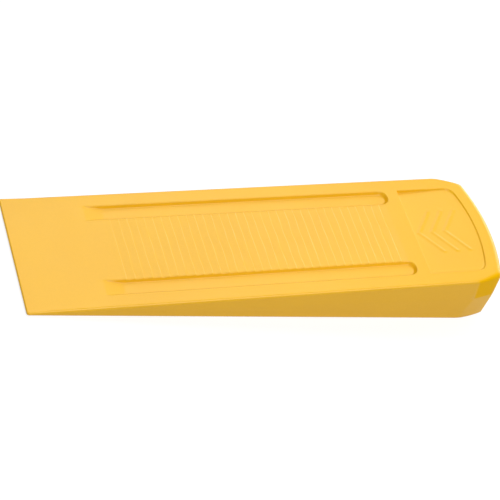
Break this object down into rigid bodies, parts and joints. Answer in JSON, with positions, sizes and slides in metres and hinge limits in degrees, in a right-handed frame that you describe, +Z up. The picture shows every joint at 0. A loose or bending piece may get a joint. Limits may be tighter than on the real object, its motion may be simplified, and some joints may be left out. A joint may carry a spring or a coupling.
{
  "type": "driving wedge",
  "caption": "Solid moulded plastic wedge with ribbed bearing faces, two long grooves per face and a thick bowed butt, for driving into a cut or chocking a wheel.",
  "frame": {"origin": "centre of the rectangle under the wedge, on the plane of its lower bearing face", "axes": "+X from the thin tip to the thick butt, +Y across the wedge, +Z up out of the lower bearing face"},
  "size_m": [0.23, 0.067, 0.0279],
  "materials": {
    "body_plastic": "golden-yellow moulded plastic with a smooth satin surface"
  },
  "bodies": {
    "root": {"wedge_body": "body_plastic"}
  },
  "joints": []
}
